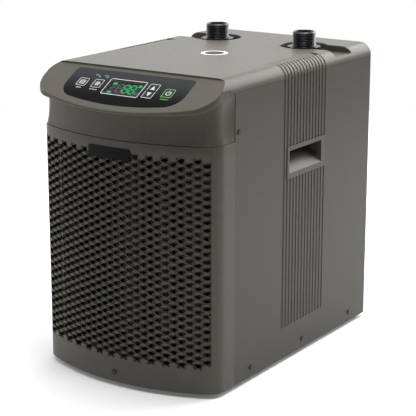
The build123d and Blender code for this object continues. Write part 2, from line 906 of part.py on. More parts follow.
def condenser_bends():
    """U-bends that join the tube rows outside the frame plates."""
    y = condenser_y + condenser_thick / 2
    bends = []
    for side, heights in bend_places():
        x = side * (condenser_half + frame_plate)
        for z in heights:
            plane = Plane(origin=(x, y, z + bend_radius), z_dir=(side, 0, 0))
            bends.append(
                revolve(plane * Circle(tube_radius), Axis((x, y, z), (0, side, 0)), 180)
            )
    return Compound(children=bends)


def condenser_frame():
    plates = []
    for side in (-1, 1):
        x0, x1 = sorted((side * condenser_half, side * (condenser_half + frame_plate)))
        plates.append(
            block(
                x0, x1, condenser_y - 8, shroud_y + shroud_depth, pan_top_z,
                condenser_low_z + condenser_height + 4,
            )
        )
    return Compound(children=plates)


def fan_shroud():
    """Open box behind the condenser that narrows to a round collar for the fan."""
    low, high = condenser_low_z, condenser_low_z + condenser_height
    back = shroud_y + shroud_depth
    shell = block(-condenser_half, condenser_half, shroud_y, back, low, high)
    shell -= block(
        shroud_wall - condenser_half, condenser_half - shroud_wall, shroud_y - 1,
        back - shroud_wall, low + shroud_wall, high - shroud_wall,
    )
    shell += rod(collar_radius + shroud_wall, (0, back, fan_z), (0, 1, 0), collar_depth)
    return shell - rod(collar_radius, (0, shroud_y, fan_z), (0, 1, 0), depth)


def fan_blade():
    """Pressed axial fan: pitched, bowed blades on a hub."""
    hub = rod(hub_radius, (0, fan_y - hub_length / 2, fan_z), (0, 1, 0), hub_length)
    chord = blade_chord / 2
    bow = blade_bow_radius - sqrt(blade_bow_radius ** 2 - chord ** 2)
    low = make_face(
        [
            ThreePointArc((-chord, 0), (0, bow), (chord, 0)),
            Line((chord, 0), (chord, -blade_thick)),
            ThreePointArc((chord, -blade_thick), (0, bow - blade_thick), (-chord, -blade_thick)),
            Line((-chord, -blade_thick), (-chord, 0)),
        ]
    )
    section = Rot(0, 0, blade_pitch) * Pos(0, -bow / 2) * low
    sweep_disc = rod(fan_radius, (0, fan_y - 30, fan_z), (0, 1, 0), 60)
    blades = Pos(0, fan_y, fan_z) * extrude(section, fan_radius + 10)
    blades -= rod(hub_radius / 2, (0, fan_y - 30, fan_z), (0, 1, 0), 60)
    blades &= sweep_disc
    fan = hub
    middle = Pos(0, fan_y, fan_z)
    for i in range(blade_count):
        fan += middle * Rot(0, i * 360 / blade_count, 0) * middle.inverse() * blades
    return fan - rod(shaft_radius, (0, fan_y - depth, fan_z), (0, 1, 0), 2 * depth)


def fan_shaft():
    start = fan_y - hub_length / 2
    return rod(shaft_radius - 0.01, (0, start, fan_z), (0, 1, 0), motor_y + 16 - start)


def fan_motor():
    body = rod(motor_radius, (0, motor_y, fan_z), (0, 1, 0), motor_length)
    body = fillet(body.edges().filter_by(GeomType.CIRCLE), motor_round)
    return body - rod(shaft_radius + shaft_gap, (0, motor_y - 1, fan_z), (0, 1, 0), 18)


def motor_bracket():
    """Ring on the motor's front with arms that reach forward to the shroud."""
    front = shroud_y + shroud_depth
    bracket = rod(motor_radius, (0, motor_y - arm_thick, fan_z), (0, 1, 0), arm_thick)
    for i in range(arm_count):
        turn = Pos(0, 0, fan_z) * Rot(0, 45 + i * 360 / arm_count, 0)
        arm = block(
            motor_radius / 2, arm_reach, motor_y - arm_thick, motor_y,
            -arm_width / 2, arm_width / 2,
        )
        leg = block(
            arm_reach - arm_thick, arm_reach, front, motor_y, -arm_width / 2, arm_width / 2
        )
        bracket += turn * (arm + leg)
    return bracket - rod(shaft_radius + 2, (0, front, fan_z), (0, 1, 0), depth)


def grommet_places():
    places = []
    for turn in (90, 210, 330):
        x = compressor_x + grommet_reach * cos(radians(turn))
        places.append((x, compressor_y + grommet_reach * sin(radians(turn))))
    return places


def compressor_shell():
    """Welded hermetic can: two domes, a seam band and a three-point mounting plate."""
    can = rod(
        compressor_radius, (compressor_x, compressor_y, compressor_low_z), (0, 0, 1),
        compressor_height,
    )
    can = fillet(can.edges().filter_by(GeomType.CIRCLE), compressor_dome)
    middle = compressor_low_z + compressor_height * 0.56
    can += rod(
        compressor_radius + compressor_band, (compressor_x, compressor_y, middle), (0, 0, 1), 5
    )
    low = compressor_low_z - mount_plate
    plate = make_hull(
        [
            edge
            for x, y in grommet_places()
            for edge in (Pos(x, y) * Circle(grommet_radius)).edges()
        ]
    )
    can += column(plate, low, compressor_low_z + 1)
    for x, y in grommet_places():
        can -= rod(stud_radius + 0.3, (x, y, low - 1), (0, 0, 1), mount_plate + 3)
    return can


def compressor_grommets():
    grommets = [
        ring(grommet_radius, stud_radius + 0.3, (x, y, pan_top_z), (0, 0, 1), grommet_height)
        for x, y in grommet_places()
    ]
    return Compound(children=grommets)


def compressor_studs():
    studs = []
    for x, y in grommet_places():
        top = compressor_low_z + 1
        stud = rod(stud_radius, (x, y, pan_top_z), (0, 0, 1), top - pan_top_z)
        studs.append(stud + rod(2 * stud_radius, (x, y, top), (0, 0, 1), 4))
    return Compound(children=studs)


def terminal_cover():
    x = compressor_x + compressor_radius
    z = compressor_low_z + compressor_height / 2 - terminal_height - 4
    cover = block(
        x - 12, x + terminal_reach, compressor_y - terminal_width / 2,
        compressor_y + terminal_width / 2, z, z + terminal_height,
    )
    outer = [e for e in cover.edges().filter_by(Axis.Z) if e.center().X > x]
    cover = fillet(outer, 4)
    return cover - rod(
        compressor_radius + 0.1, (compressor_x, compressor_y, 0), (0, 0, 1), cover_top_z
    )


def evaporator_tank():
    tank = rod(tank_radius, (0, tank_y, pan_top_z), (0, 0, 1), tank_height)
    return fillet(tank.edges().filter_by(GeomType.CIRCLE).group_by(Axis.Z)[0], tank_round)


def tank_lid():
    lid = rod(tank_radius + 3, (0, tank_y, tank_top_z), (0, 0, 1), lid_height)
    for side in (-1, 1):
        lid += rod(
            barb_radius, (side * port_x, tank_y, tank_top_z + lid_height - 1), (0, 0, 1),
            port_height + 1,
        )
        lid -= rod(
            barb_radius - 3, (side * port_x, tank_y, tank_top_z + lid_height), (0, 0, 1),
            port_height + 1,
        )
    return lid - rod(probe_radius + 0.1, (0, tank_y, tank_top_z - 1), (0, 0, 1), lid_height + 2)


def hose_ends():
    """Heights of the hose's lower and upper end."""
    return tank_top_z + lid_height + 1.5, flange_low_z - 1.5


def water_hose(side):
    low, high = hose_ends()
    points = [
        (side * fitting_x, fitting_y, high),
        (side * fitting_x, fitting_y, high - hose_drop),
        (side * port_x, tank_y, low + hose_drop),
        (side * port_x, tank_y, low),
    ]
    return pipe(points, barb_radius + hose_wall + 0.2, hose_bend, barb_radius + 0.2)


def hose_clamps():
    inner = barb_radius + hose_wall + 0.3
    low, high = hose_ends()
    clamps = []
    for side in (-1, 1):
        spots = (
            (side * fitting_x, fitting_y, high - 4 - clamp_width),
            (side * port_x, tank_y, low + 4),
        )
        for x, y, z in spots:
            band = ring(inner + 1.2, inner, (x, y, z), (0, 0, 1), clamp_width)
            lug = block(x - 4, x + 4, y + inner + 0.6, y + inner + 7, z, z + clamp_width)
            clamps.append(band + lug)
    return Compound(children=clamps)


def round_surface(centre_x, centre_y, radius, turn, lift):
    """Point beside an upright round wall."""
    reach = radius + lift
    return centre_x + reach * cos(radians(turn)), centre_y + reach * sin(radians(turn))


def suction_pipe():
    """From the compressor's side up and over to the tank."""
    x0, y0 = round_surface(compressor_x, compressor_y, compressor_radius, 120, 0.15)
    x1, y1 = round_surface(compressor_x, compressor_y, compressor_radius, 120, 16)
    turn_x, turn_y = x1, y1 - tank_y
    length = sqrt(turn_x ** 2 + turn_y ** 2)
    x2 = turn_x / length * (tank_radius + 0.15)
    y2 = tank_y + turn_y / length * (tank_radius + 0.15)
    low, high = compressor_low_z + compressor_height / 2, tank_top_z - 20
    return pipe([(x0, y0, low), (x1, y1, low), (x1, y1, high), (x2, y2, high)], pipe_radius, 9)


def discharge_pipe():
    """From the compressor to the top of the condenser, round its left frame plate."""
    x0, y0 = round_surface(compressor_x, compressor_y, compressor_radius, 215, 0.15)
    x1, y1 = round_surface(compressor_x, compressor_y, compressor_radius, 215, 14)
    low, high = compressor_low_z + compressor_height / 2, condenser_low_z + condenser_height - 20
    x2 = -condenser_half - frame_plate
    y2 = condenser_y + condenser_thick / 2
    points = [
        (x0, y0, low), (x1, y1, low), (x1, y1, high), (x2 - 14, y1 - 34, high),
        (x2 - 14, y2, high), (x2 - 0.15, y2, high),
    ]
    return pipe(points, thin_pipe_radius, 8)


def drier_place():
    return condenser_half + frame_plate + 13, shroud_y + shroud_depth + 50


def liquid_pipe():
    """From the bottom of the condenser to the drier."""
    x1, y1 = drier_place()
    x0, y0 = condenser_half + frame_plate, condenser_y + condenser_thick / 2
    low = condenser_low_z + 8
    return pipe(
        [(x0 + 0.15, y0, low), (x1, y0, low), (x1, y1, low), (x1, y1, low + 60)],
        thin_pipe_radius, 8,
    )


def filter_drier():
    x, y = drier_place()
    body = rod(drier_radius, (x, y, condenser_low_z + 68), (0, 0, 1), drier_length)
    return fillet(body.edges().filter_by(GeomType.CIRCLE), drier_radius * 0.7)


def capillary_tube():
    """Thin tube from the drier over to the tank."""
    x0, y0 = drier_place()
    low = condenser_low_z + 68 + drier_length
    high = tank_top_z - 12
    turn_x, turn_y = x0, y0 - tank_y
    length = sqrt(turn_x ** 2 + turn_y ** 2)
    reach = tank_radius + 0.15
    end = (turn_x / length * reach, tank_y + turn_y / length * reach, high)
    return pipe([(x0, y0, low), (x0, y0, high), end], capillary_radius, 15)


def temperature_probe():
    start = (0, tank_y, tank_top_z)
    probe = rod(probe_radius, start, (0, 0, 1), probe_length)
    return probe + rod(probe_radius + 3, (0, tank_y, tank_top_z + lid_height), (0, 0, 1), 6)


def power_module():
    x1 = half - wall - 16
    y0 = compressor_y - 62
    box = block(x1 - module_width, x1, y0, y0 + module_depth, pan_top_z, pan_top_z + module_height)
    return fillet(box.edges().filter_by(Axis.Z), 3)


def power_inlet():
    """Mains socket in the back panel: a bordered cup with three blades inside."""
    y1 = back_y - wall
    w, h, b = socket_width / 2, socket_height / 2, socket_border
    body = block(
        socket_x - w - b, socket_x + w + b, y1, y1 + 2, socket_z - h - b / 1.6, socket_z + h + b / 1.6
    )
    body += block(
        socket_x - w - 3, socket_x + w + 3, y1 - 26, y1, socket_z - h - 3, socket_z + h + 3
    )
    return body - block(
        socket_x - w, socket_x + w, y1 + 2 - socket_depth, y1 + 3, socket_z - h, socket_z + h
    )


def inlet_pins():
    y0 = back_y - wall + 2 - socket_depth
    pins = []
    for x, z in ((-7.0, -2.0), (0.0, 4.0), (7.0, -2.0)):
        pins.append(
            block(
                socket_x + x - 1, socket_x + x + 1, y0, y0 + 13, socket_z + z - 2, socket_z + z + 2
            )
        )
    return Compound(children=pins)


def fuse_holder():
    y1 = back_y - wall
    place = (socket_x, y1, socket_z + fuse_rise)
    cap = rod(fuse_radius + 2, place, (0, 1, 0), 2)
    return cap + rod(fuse_radius, place, (0, -1, 0), 24)


makers = {
    "front_grille": front_grille,
    "badge_plate": badge_plate,
    "control_head": control_head,
    "control_overlay": control_overlay,
    "display_window": display_window,
    "display_module": display_module,
    "indicator_lamps": indicator_lamps,
    "control_board": control_board,
    "board_screws": board_screws,
    "top_cover": top_cover,
    "right_side_panel": lambda: side_panel(1),
    "left_side_panel": lambda: side_panel(-1),
    "right_handle_cup": lambda: handle_cup(1),
    "left_handle_cup": lambda: handle_cup(-1),
    "rear_panel": rear_panel,
    "base_pan": base_pan,
    "rubber_feet": rubber_feet,
    "foot_screws": foot_screws,
    "panel_screws": panel_screws,
    "outlet_fitting": lambda: fitting(1),
    "inlet_fitting": lambda: fitting(-1),
    "outlet_seal_ring": lambda: seal_ring(1),
    "inlet_seal_ring": lambda: seal_ring(-1),
    "outlet_lock_nut": lambda: lock_nut(1),
    "inlet_lock_nut": lambda: lock_nut(-1),
    "top_label": top_label,
    "condenser_core": condenser_core,
    "condenser_bends": condenser_bends,
    "condenser_frame": condenser_frame,
    "fan_shroud": fan_shroud,
    "fan_blade": fan_blade,
    "fan_shaft": fan_shaft,
    "fan_motor": fan_motor,
    "motor_bracket": motor_bracket,
    "compressor_shell": compressor_shell,
    "compressor_grommets": compressor_grommets,
    "compressor_studs": compressor_studs,
    "terminal_cover": terminal_cover,
    "evaporator_tank": evaporator_tank,
    "tank_lid": tank_lid,
    "outlet_hose": lambda: water_hose(1),
    "inlet_hose": lambda: water_hose(-1),
    "hose_clamps": hose_clamps,
    "suction_pipe": suction_pipe,
    "discharge_pipe": discharge_pipe,
    "liquid_pipe": liquid_pipe,
    "filter_drier": filter_drier,
    "capillary_tube": capillary_tube,
    "temperature_probe": temperature_probe,
    "power_module": power_module,
    "power_inlet": power_inlet,
    "inlet_pins": inlet_pins,
    "fuse_holder": fuse_holder,
}

os.makedirs("parts", exist_ok=True)
for name in keys:
    export_step(key(name), "parts/" + name + ".step")
for name, make in makers.items():
    export_step(make(), "parts/" + name + ".step")
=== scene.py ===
import bpy
import numpy as np
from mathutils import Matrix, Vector


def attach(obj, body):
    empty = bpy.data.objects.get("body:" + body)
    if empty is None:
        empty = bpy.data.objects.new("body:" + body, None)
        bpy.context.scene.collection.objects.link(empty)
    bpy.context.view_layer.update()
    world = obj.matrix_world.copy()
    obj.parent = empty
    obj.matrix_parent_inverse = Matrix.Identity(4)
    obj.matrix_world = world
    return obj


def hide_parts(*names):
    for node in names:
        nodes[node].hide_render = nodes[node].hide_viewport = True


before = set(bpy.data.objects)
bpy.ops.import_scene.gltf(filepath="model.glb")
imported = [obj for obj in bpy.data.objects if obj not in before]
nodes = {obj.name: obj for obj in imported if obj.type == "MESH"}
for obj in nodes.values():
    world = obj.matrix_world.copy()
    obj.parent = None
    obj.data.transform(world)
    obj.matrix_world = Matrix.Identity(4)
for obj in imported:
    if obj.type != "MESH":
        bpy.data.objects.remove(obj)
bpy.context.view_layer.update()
print("frame loaded:", len(nodes), "nodes")

mm = 0.001


# small mesh tools

def makeMesh(name, verts, faces, smooth=True, sharpAngle=35.0):
    # faces is a list of index arrays, one array for each face size
    mesh = bpy.data.meshes.new(name)
    mesh.from_pydata(verts.tolist(), [], [f for block in faces for f in block.tolist()])
    mesh.polygons.foreach_set("use_smooth", np.full(len(mesh.polygons), smooth))
    if smooth:
        mesh.set_sharp_from_angle(angle=np.radians(sharpAngle))
    mesh.validate()
    piece = bpy.data.objects.new(name, mesh)
    bpy.context.scene.collection.objects.link(piece)
    return piece


def joinBlocks(shapes):
    # points and faces of one mesh from shapes that each count their own points from 0
    verts, faces, base = [], [], 0
    for points, blocks in shapes:
        verts.append(points.reshape(-1, 3))
        faces += [block + base for block in blocks]
        base += len(verts[-1])
    return np.vstack(verts), faces


def gridFaces(rows, columns, closeColumns=False):
    # quads of a rows x columns grid, counted row by row; closed columns wrap round
    last = columns if closeColumns else columns - 1
    r, c = np.meshgrid(np.arange(rows - 1), np.arange(last), indexing="ij")
    d = (c + 1) % columns
    here, after = r * columns, (r + 1) * columns
    return np.stack([here + c, here + d, after + d, after + c], -1).reshape(-1, 4)


def flatDisc(name, centre, radius, sides):
    angle = np.linspace(0, 2 * np.pi, sides, endpoint=False)
    ring = radius * np.stack([np.cos(angle), np.sin(angle), 0 * angle], -1)
    return makeMesh(name, np.asarray(centre) + ring, [np.arange(sides)[None]], smooth=False)


def dress(piece, body, slot, material, *replaced):
    piece.data.materials.clear()
    piece.data.materials.append(material)
    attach(piece, body)
    if replaced:
        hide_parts(*replaced)
    return piece


# materials

def newMaterial(name, color, roughness, metallic=0.0, coat=0.0, alpha=1.0, specular=0.5):
    material = bpy.data.materials.new(name)
    material.use_nodes = True
    shader = material.node_tree.nodes["Principled BSDF"]
    shader.inputs["Base Color"].default_value = (*color, 1)
    shader.inputs["Roughness"].default_value = roughness
    shader.inputs["Metallic"].default_value = metallic
    shader.inputs["Coat Weight"].default_value = coat
    shader.inputs["Specular IOR Level"].default_value = specular
    shader.inputs["Alpha"].default_value = alpha
    return material


grain = {
    "cloudShare": 0.05, "cloudDetail": 6, "fineDetail": 3, "darkAt": 0.3, "lightAt": 0.7,
    "bumpStrength": 0.35, "glossSpread": 0.06,
}


def addGrain(material, color, spread, scale, depth):
    # a coarse noise varies the colour and the gloss, a fine one gives the bump
    tree = material.node_tree
    shader = tree.nodes["Principled BSDF"]
    place = tree.nodes.new("ShaderNodeTexCoord")
    cloud = tree.nodes.new("ShaderNodeTexNoise")
    cloud.inputs["Scale"].default_value = scale * grain["cloudShare"]
    cloud.inputs["Detail"].default_value = grain["cloudDetail"]
    fine = tree.nodes.new("ShaderNodeTexNoise")
    fine.inputs["Scale"].default_value = scale
    fine.inputs["Detail"].default_value = grain["fineDetail"]
    ramp = tree.nodes.new("ShaderNodeValToRGB")
    dark, light = ramp.color_ramp.elements
    dark.position, light.position = grain["darkAt"], grain["lightAt"]
    dark.color = (*(c * (1 - spread) for c in color), 1)
    light.color = (*(min(1, c * (1 + spread)) for c in color), 1)
    bump = tree.nodes.new("ShaderNodeBump")
    bump.inputs["Strength"].default_value = grain["bumpStrength"]
    bump.inputs["Distance"].default_value = depth
    gloss = tree.nodes.new("ShaderNodeMapRange")
    middle = shader.inputs["Roughness"].default_value
    gloss.inputs["To Min"].default_value = middle - grain["glossSpread"]
    gloss.inputs["To Max"].default_value = middle + grain["glossSpread"]
    for node in (cloud, fine):
        tree.links.new(place.outputs["Object"], node.inputs["Vector"])
    tree.links.new(cloud.outputs["Fac"], ramp.inputs["Fac"])
    tree.links.new(ramp.outputs["Color"], shader.inputs["Base Color"])
    tree.links.new(fine.outputs["Fac"], bump.inputs["Height"])
    tree.links.new(bump.outputs["Normal"], shader.inputs["Normal"])
    tree.links.new(cloud.outputs["Fac"], gloss.inputs["Value"])
    tree.links.new(gloss.outputs["Result"], shader.inputs["Roughness"])
    return material


def glow(material, color, strength):
    shader = material.node_tree.nodes["Principled BSDF"]
    shader.inputs["Emission Color"].default_value = (*color, 1)
    shader.inputs["Emission Strength"].default_value = strength
    return material


finish = {
    # colour, roughness, metallic, coat, grain spread, grain scale, grain depth, and the specular
    # level where it isn't 0.5
    "warmGreyPlastic": ((0.072, 0.067, 0.053), 0.42, 0, 0, 0.06, 2200, 0.00005, 0.2),
    # the side and rear panels take a darker copy of the cabinet's warm grey: painted shade for the
    # sides
    "warmGreyShadedPaint": ((0.050, 0.046, 0.036), 0.40, 0, 0, 0.06, 1800, 0.00004, 0.2),
    "cupPlastic": ((0.068, 0.063, 0.050), 0.42, 0, 0, 0.06, 2000, 0.00004, 0.2),
    "blackPlastic": ((0.012, 0.012, 0.013), 0.38, 0, 0, 0.15, 900, 0.00005),
    "threadPlastic": ((0.006, 0.0065, 0.008), 0.36, 0, 0, 0.15, 900, 0.00004, 0.35),
    "overlayFilm": ((0.010, 0.012, 0.014), 0.34, 0, 0, 0.08, 1500, 0.00001, 0.03),
    "keyFilm": ((0.018, 0.019, 0.021), 0.38, 0, 0, 0.08, 1500, 0.00002, 0.1),
    "badgeGloss": ((0.002, 0.002, 0.002), 0.3, 0, 0, 0.1, 700, 0.00001, 0.1),
    "boardLaminate": ((0.01, 0.07, 0.03), 0.35, 0, 0.2, 0.15, 500, 0.00002),
    "zincSteel": ((0.25, 0.25, 0.25), 0.34, 1, 0, 0.2, 900, 0.00003),
    "screwSteel": ((0.03, 0.03, 0.03), 0.34, 0.8, 0, 0.2, 900, 0.00003),
    "galvanised": ((0.35, 0.36, 0.37), 0.45, 0.9, 0, 0.25, 160, 0.00003),
    "footRubber": ((0.015, 0.015, 0.015), 0.7, 0, 0, 0.15, 1200, 0.00008),
    "hoseRubber": ((0.03, 0.03, 0.032), 0.6, 0, 0, 0.15, 1200, 0.00008),
    # the condenser's aluminium fins are near black as painted shade, so that the grille's holes
    # look dark
    "finPaintedShade": ((0.006, 0.006, 0.007), 0.5, 0, 0, 0.2, 700, 0.00004),
    "copper": ((0.62, 0.30, 0.17), 0.3, 1, 0, 0.2, 400, 0.00003),
    "fanPlastic": ((0.02, 0.02, 0.02), 0.45, 0, 0, 0.12, 900, 0.00005),
    "motorPaint": ((0.03, 0.03, 0.033), 0.38, 0, 0.1, 0.15, 800, 0.00005),
    "compressorPaint": ((0.008, 0.008, 0.008), 0.25, 0, 0.3, 0.15, 500, 0.00006),
    "foamJacket": ((0.03, 0.03, 0.033), 0.8, 0, 0, 0.2, 600, 0.00015),
    "nickelBrass": ((0.6, 0.5, 0.32), 0.3, 1, 0, 0.12, 600, 0.00002),
    "labelFilm": ((0.62, 0.62, 0.60), 0.4, 0, 0.1, 0.04, 900, 0.00001),
    "labelDark": ((0.014, 0.003, 0.004), 0.4, 0, 0, 0.1, 900, 0.00001, 0.1),
    "printWhite": ((0.55, 0.56, 0.56), 0.5, 0, 0, 0.05, 900, 0.00001),
    "printGreen": ((0.10, 0.36, 0.06), 0.5, 0, 0, 0.05, 900, 0.00001),
}
materials = {}
for name, (color, rough, metal, coat, spread, scale, depth, *specular) in finish.items():
    plain = newMaterial(name, color, rough, metal, coat, 1.0, *specular)
    materials[name] = addGrain(plain, color, spread, scale, depth)


def paintedShadeUp(material, lowZ, highZ, lowColor, highColor):
    # the colour goes from one to the other with the height, as painted shade: darker at the foot
    # and lighter at the top, where the light falls; it takes the place of the grain's colour
    tree = material.node_tree
    shader = tree.nodes["Principled BSDF"]
    tree.nodes.remove(shader.inputs["Base Color"].links[0].from_node)
    place = tree.nodes.new("ShaderNodeTexCoord")
    split = tree.nodes.new("ShaderNodeSeparateXYZ")
    share = tree.nodes.new("ShaderNodeMapRange")
    share.inputs["From Min"].default_value = lowZ
    share.inputs["From Max"].default_value = highZ
    ramp = tree.nodes.new("ShaderNodeValToRGB")
    ramp.color_ramp.interpolation = "EASE"
    for stop, color in zip(ramp.color_ramp.elements, (lowColor, highColor)):
        stop.color = (*color, 1)
    tree.links.new(place.outputs["Object"], split.inputs["Vector"])
    tree.links.new(split.outputs["Z"], share.inputs["Value"])
    tree.links.new(share.outputs["Result"], ramp.inputs["Fac"])
    tree.links.new(ramp.outputs["Color"], shader.inputs["Base Color"])


# painted shade on the control overlay: near black at its foot, lighter towards its top
filmPaintedShade = {
    "lowZ": 376 * mm, "highZ": 404 * mm,
    "lowColor": (0.001, 0.0012, 0.0012), "highColor": (0.036, 0.039, 0.042),
}
paintedShadeUp(materials["overlayFilm"], **filmPaintedShade)

displayGrain = {"spread": 0.06, "scale": 900, "depth": 0.00001}
displayFinish = {
    # colour, roughness, alpha, specular, then the glow's colour and strength where it shines
    "smokedWindow": ((0.004, 0.005, 0.005), 0.15, 0.22, 0.1),
    "greenSegment": ((0.0, 0.16, 0.06), 0.4, 1.0, 0.5, (0.0, 0.50, 0.17), 1.3),
    "dimSegment": ((0.17, 0.15, 0.15), 0.5, 1.0, 0.5),
    "greenLamp": ((0.02, 0.3, 0.15), 0.2, 1.0, 0.5, (0.02, 0.4, 0.2), 0.6),
}
for name, (color, rough, alpha, specular, *shine) in displayFinish.items():
    plain = newMaterial(name, color, rough, alpha=alpha, specular=specular)
    materials[name] = addGrain(plain, color, **displayGrain)
    if shine:
        glow(materials[name], *shine)

nodeFinish = {
    "warmGreyPlastic": ["control_head", "top_cover", "front_grille"],
    "warmGreyShadedPaint": ["right_side_panel", "left_side_panel", "rear_panel"],
    "cupPlastic": ["right_handle_cup", "left_handle_cup"],
    "overlayFilm": ["control_overlay"],
    "keyFilm": ["set_key", "boost_key", "up_key", "down_key", "power_key"],
    "smokedWindow": ["display_window"],
    "blackPlastic": ["display_module", "terminal_cover", "power_module", "power_inlet",
                     "fuse_holder"],
    "greenLamp": ["indicator_lamps"],
    "boardLaminate": ["control_board"],
    "zincSteel": ["board_screws", "foot_screws", "hose_clamps", "fan_shaft", "temperature_probe",
                  "motor_bracket", "compressor_studs"],
    "screwSteel": ["panel_screws"],
    "badgeGloss": ["badge_plate"],
    "labelFilm": ["top_label"],
    "galvanised": ["base_pan", "condenser_frame", "fan_shroud"],
    "footRubber": ["rubber_feet", "compressor_grommets", "outlet_seal_ring", "inlet_seal_ring"],
    "hoseRubber": ["outlet_hose", "inlet_hose"],
    "threadPlastic": ["outlet_fitting", "inlet_fitting", "outlet_lock_nut", "inlet_lock_nut"],
    "finPaintedShade": ["condenser_core"],
    "copper": ["condenser_bends", "suction_pipe", "discharge_pipe", "liquid_pipe", "filter_drier",
               "capillary_tube"],
    "fanPlastic": ["fan_blade"],
    "motorPaint": ["fan_motor"],
    "compressorPaint": ["compressor_shell"],
    "foamJacket": ["evaporator_tank", "tank_lid"],
    "nickelBrass": ["inlet_pins"],
}
for name, group in nodeFinish.items():
    for node in group:
        nodes[node].data.materials.clear()
        nodes[node].data.materials.append(materials[name])
bare = [node for node in nodes if not any(node in group for group in nodeFinish.values())]
print("materials done, nodes without a finish:", bare)


# front grille with its full pattern

grille = {
    "half": 138 * mm, "seamY": -138 * mm, "reach": 73 * mm, "frontRadius": 292 * mm,
    "cornerRadius": 25 * mm, "low": 6 * mm, "top": 328 * mm, "wall": 2.5 * mm, "ledge": 12 * mm,
    "edge": 0.7 * mm, "bend": 0.21 * mm, "columns": 26, "rows": 27, "pitchX": 10 * mm,
    "pitchZ": 10.2 * mm, "fieldLow": 39 * mm, "holeWidth": 9.3 * mm, "holeHeight": 5.6 * mm,
    "holePower": 1.3, "chamfer": 0.35 * mm, "cornerSteps": 9, "straightSteps": 3,
    "sharpAngle": 24,
}
weldStep = 1e-6
# centres of the wide front arc and of the corner arc, in plan
cornerX = grille["half"] - grille["cornerRadius"]
centreY = grille["seamY"] - grille["reach"] + grille["frontRadius"]
arcSpan = grille["frontRadius"] - grille["cornerRadius"]
cornerY = centreY - np.sqrt(arcSpan ** 2 - cornerX ** 2)
# the field of holes: half its width, half a pitch each way, the middles of its columns, and two
# levels for each row of holes
fieldHalf = grille["columns"] * grille["pitchX"] / 2
stepX, stepZ = grille["pitchX"] / 2, grille["pitchZ"] / 2
columnX = (np.arange(grille["columns"]) - (grille["columns"] - 1) / 2) * grille["pitchX"]
levels = grille["fieldLow"] + np.arange(2 * grille["rows"] + 1) * grille["pitchZ"] / 2


def planFront(x, inset):
    # depth of the front outline at x and the normal's share across: a wide middle arc that meets
    # two corner arcs at a tangent
    wide, small = grille["frontRadius"] - inset, grille["cornerRadius"] - inset
    across = np.abs(x)
    onCorner = across > wide * cornerX / arcSpan
    front = centreY - np.sqrt(wide ** 2 - x ** 2)
    corner = cornerY - np.sqrt(np.maximum(small ** 2 - (across - cornerX) ** 2, 0))
    normalX = np.where(onCorner, (across - cornerX) / small * np.sign(x), x / wide)
    return np.where(onCorner, corner, front), normalX


def planSide():
    # stations of the right side from the field's edge to the seam: points and outward normals
    radius, count = grille["cornerRadius"], grille["straightSteps"]
    angle = np.linspace(np.arcsin((fieldHalf - cornerX) / radius), np.pi / 2, grille["cornerSteps"])
    arc = np.stack([cornerX + radius * np.sin(angle), cornerY - radius * np.cos(angle)], -1)
    arcNormal = np.stack([np.sin(angle), -np.cos(angle)], -1)
    straightY = np.linspace(cornerY, grille["seamY"], count + 1)[1:]
    straight = np.stack([np.full(count, grille["half"]), straightY], -1)
    return np.vstack([arc, straight]), np.vstack([arcNormal, np.tile([1.0, 0.0], (count, 1))])


def planWhole():
    # stations from seam to seam, with one at each edge of a column of holes
    sidePoint, sideNormal = planSide()
    edgeX = np.linspace(-fieldHalf, fieldHalf, grille["columns"] + 1)
    edgeY, normalX = planFront(edgeX, 0)
    middle = np.stack([edgeX, edgeY], -1)
    middleNormal = np.stack([normalX, -np.sqrt(1 - normalX ** 2)], -1)
    flip = np.array([-1, 1])
    return (np.vstack([sidePoint[:0:-1] * flip, middle, sidePoint[1:]]),
            np.vstack([sideNormal[:0:-1] * flip, middleNormal, sideNormal[1:]]))


def curved(x, z, inset):
    return np.stack([x, planFront(x, inset)[0], z], -1)


def holeCells():
    # one cell for each hole: six corners and a rounded diamond at the face, the diamond at the
    # chamfer's foot, then the corners and the diamond at the back; the walls run straight back
    # along the depth, as the mould draws them
    g = grille
    corners, ring = 6, 12
    atFace, atFoot, backCorners = corners, corners + ring, corners + 2 * ring
    atBack = backCorners + corners
    # faces between the corners 0 to 5 and the ring 6 to 17
    six = np.array([[0, 1, 9, 8, 7, 6], [2, 3, 12, 11, 10, 9], [3, 4, 15, 14, 13, 12],
                    [5, 0, 6, 17, 16, 15]])
    three = np.array([[1, 2, 9], [4, 5, 15]])
    k = np.arange(ring)
    j = (k + 1) % ring
    rim = np.stack([atFace + k, atFace + j, atFoot + j, atFoot + k], -1)
    wall = np.stack([atFoot + k, atFoot + j, atBack + j, atBack + k], -1)

    turn = 2 * np.pi * k / ring
    power = 2 / g["holePower"]
    ringX = np.sign(np.cos(turn)) * np.abs(np.cos(turn)) ** power
    ringZ = np.sign(np.sin(turn)) * np.abs(np.sin(turn)) ** power
    outerX = np.array([stepX, stepX, -stepX, -stepX, -stepX, stepX])
    outerZ = np.array([0, stepZ, stepZ, 0, -stepZ, -stepZ])
    a, b, c = g["holeWidth"] / 2, g["holeHeight"] / 2, g["chamfer"]

    # every second column is shifted up by half a pitch and has one hole less
    middles = []
    for odd in (0, 1):
        rowZ = g["fieldLow"] + stepZ * (1 + odd) + np.arange(g["rows"] - odd) * g["pitchZ"]
        middles.append(np.stack(np.meshgrid(columnX[odd::2], rowZ), -1).reshape(-1, 2))
    x, z = np.vstack(middles).T[:, :, None]
    faceX = np.concatenate([outerX, ringX * (a + c)])
    faceZ = np.concatenate([outerZ, ringZ * (b + c)])
    backX = np.concatenate([outerX, ringX * a])
    backZ = np.concatenate([outerZ, ringZ * b])
    cells = np.concatenate([
        curved(x + faceX, z + faceZ, 0),
        curved(x + ringX * a, z + ringZ * b, c),
        curved(x + backX, z + backZ, g["wall"]),
    ], 1)
    offset = (np.arange(len(cells)) * cells.shape[1])[:, None, None]
    blocks = [six, three, rim, wall, six[:, ::-1] + backCorners, three[:, ::-1] + backCorners]
    return cells, [(block + offset).reshape(-1, block.shape[1]) for block in blocks]


